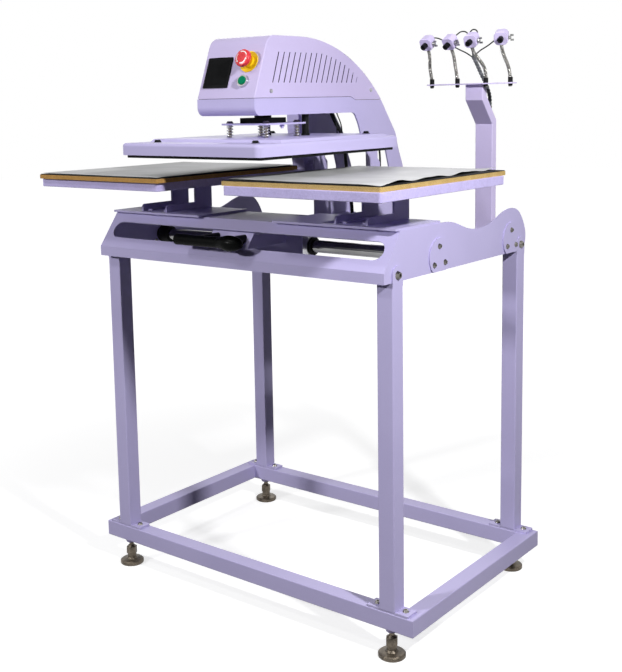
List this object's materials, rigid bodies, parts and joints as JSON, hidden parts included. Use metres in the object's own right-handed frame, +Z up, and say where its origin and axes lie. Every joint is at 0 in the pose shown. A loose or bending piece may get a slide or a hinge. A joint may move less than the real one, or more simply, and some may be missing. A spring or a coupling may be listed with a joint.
{
  "type": "dual station heat press",
  "caption": "Shuttle heat press on a leg frame: one pressing head slides on two shafts between a left and a right board, with pointer lamps on a bent post.",
  "frame": {"origin": "on the floor, midway along the overall length and depth", "axes": "+Z up, -Y towards the operator, +X along the guide shafts to the operator's right"},
  "size_m": [0.996, 0.79, 1.374],
  "materials": {
    "purple_paint": "satin",
    "dark_nickel": "satin",
    "bright_steel": "polished",
    "black_rubber": "matte",
    "black_grip": "matte",
    "black_metal": "satin",
    "spring_steel": "satin",
    "board_wood": "matte",
    "mat_black": "matte",
    "coated_sheet": "satin",
    "screen_black": "gloss",
    "stop_yellow": "satin",
    "stop_red": "gloss",
    "start_green": "gloss",
    "heater_black": "matte",
    "zinc_steel": "satin",
    "cable_black": "satin"
  },
  "bodies": {
    "stand": {"base_frame": "purple_paint", "legs": "purple_paint", "plate_screws": "bright_steel", "side_panels": "purple_paint", "front_panel": "purple_paint", "rear_rail": "purple_paint", "shafts": "bright_steel", "shaft_end_plates": "purple_paint", "end_plate_screws": "bright_steel", "leg_bolts": "bright_steel", "buffers": "black_rubber", "station_plates": "purple_paint", "pedestals": "purple_paint", "platens": "purple_paint", "boards": "board_wood", "mats": "mat_black", "sheets": "coated_sheet", "laser_post": "purple_paint", "goosenecks": "bright_steel", "ferrules": "black_metal", "laser_housings": "purple_paint", "lens_barrels": "black_metal", "lamp_cables": "cable_black"},
    "foot_fl": {"foot_front_left": "dark_nickel"},
    "foot_fr": {"foot_front_right": "dark_nickel"},
    "foot_rl": {"foot_rear_left": "dark_nickel"},
    "foot_rr": {"foot_rear_right": "dark_nickel"},
    "carriage": {"carriage_base": "purple_paint", "bearings": "zinc_steel", "bearing_seals": "black_rubber", "handle_grip": "black_grip", "handle_legs": "black_metal", "head_sides": "purple_paint", "head_tray": "purple_paint", "head_cover": "purple_paint", "cover_screws": "bright_steel", "touch_screen": "screen_black", "estop_collar": "stop_yellow", "start_ring": "bright_steel", "actuator": "zinc_steel", "control_box": "purple_paint", "mains_inlet": "black_grip", "trunk_cables": "cable_black"},
    "press": {"ram": "black_metal", "spring_plate": "purple_paint", "coil_springs": "spring_steel"},
    "platen": {"spring_bolts": "bright_steel", "guide_posts": "black_metal", "heat_cover": "purple_paint", "heater_plate": "heater_black", "cap_nuts": "black_metal", "heater_leads": "cable_black"},
    "estop_slider": {"estop_stem": "stop_red"},
    "estop_head": {"estop_mushroom": "stop_red"},
    "start_button": {"start_cap": "start_green"},
    "rocker": {"power_rocker": "black_grip"},
    "wing_1": {"wing_screw_1": "bright_steel"},
    "wing_2": {"wing_screw_2": "bright_steel"},
    "wing_3": {"wing_screw_3": "bright_steel"},
    "wing_4": {"wing_screw_4": "bright_steel"}
  },
  "joints": [
    {"name": "carriage_slide", "type": "slide", "parent": "stand", "child": "carriage", "axis": [1, 0, 0], "range_m": [-0.298, 0.298]},
    {"name": "press_slide", "type": "slide", "parent": "carriage", "child": "press", "axis": [0, 0, -1], "range_m": [0, 0.04]},
    {"name": "platen_float", "type": "slide", "parent": "press", "child": "platen", "axis": [0, 0, 1], "range_m": [0, 0.006], "stiffness_N_per_m": 20000, "springref_m": -0.004, "deforming": ["coil_springs"]},
    {"name": "estop_push", "type": "slide", "parent": "carriage", "child": "estop_slider", "axis": [0, 0.9339, -0.3576], "range_m": [0, 0.005]},
    {"name": "estop_twist", "type": "hinge", "parent": "estop_slider", "child": "estop_head", "pos_m": [0.0476, -0.24605, 1.30013], "axis": [0, -0.9339, 0.3576], "range_deg": [-45, 0], "stiffness_Nm_per_rad": 0.1},
    {"name": "start_push", "type": "slide", "parent": "carriage", "child": "start_button", "axis": [0, 0.9339, -0.3576], "range_m": [0, 0.003], "stiffness_N_per_m": 1500, "springref_m": -0.001},
    {"name": "power_switch", "type": "hinge", "parent": "carriage", "child": "rocker", "pos_m": [-0.129, 0.253, 1.05], "axis": [1, 0, 0], "range_deg": [0, 24]},
    {"name": "foot_turn_fl", "type": "hinge", "parent": "stand", "child": "foot_fl", "pos_m": [-0.409, -0.219, 0], "axis": [0, 0, 1], "continuous": true},
    {"name": "foot_turn_fr", "type": "hinge", "parent": "stand", "child": "foot_fr", "pos_m": [0.409, -0.219, 0], "axis": [0, 0, 1], "continuous": true},
    {"name": "foot_turn_rl", "type": "hinge", "parent": "stand", "child": "foot_rl", "pos_m": [-0.409, 0.341, 0], "axis": [0, 0, 1], "continuous": true},
    {"name": "foot_turn_rr", "type": "hinge", "parent": "stand", "child": "foot_rr", "pos_m": [0.409, 0.341, 0], "axis": [0, 0, 1], "continuous": true},
    {"name": "wing_turn_1", "type": "hinge", "parent": "stand", "child": "wing_1", "pos_m": [0.174, 0.319, 1.341], "axis": [0.9997, -0.0232, 0], "range_deg": [0, 270]},
    {"name": "wing_turn_2", "type": "hinge", "parent": "stand", "child": "wing_2", "pos_m": [0.239, 0.319, 1.34], "axis": [0.9895, -0.1448, 0], "range_deg": [0, 270]},
    {"name": "wing_turn_3", "type": "hinge", "parent": "stand", "child": "wing_3", "pos_m": [0.3, 0.319, 1.343], "axis": [0.9961, 0.0885, 0], "range_deg": [0, 270]},
    {"name": "wing_turn_4", "type": "hinge", "parent": "stand", "child": "wing_4", "pos_m": [0.382, 0.319, 1.346], "axis": [0.9454, 0.326, 0], "range_deg": [0, 270]}
  ]
}
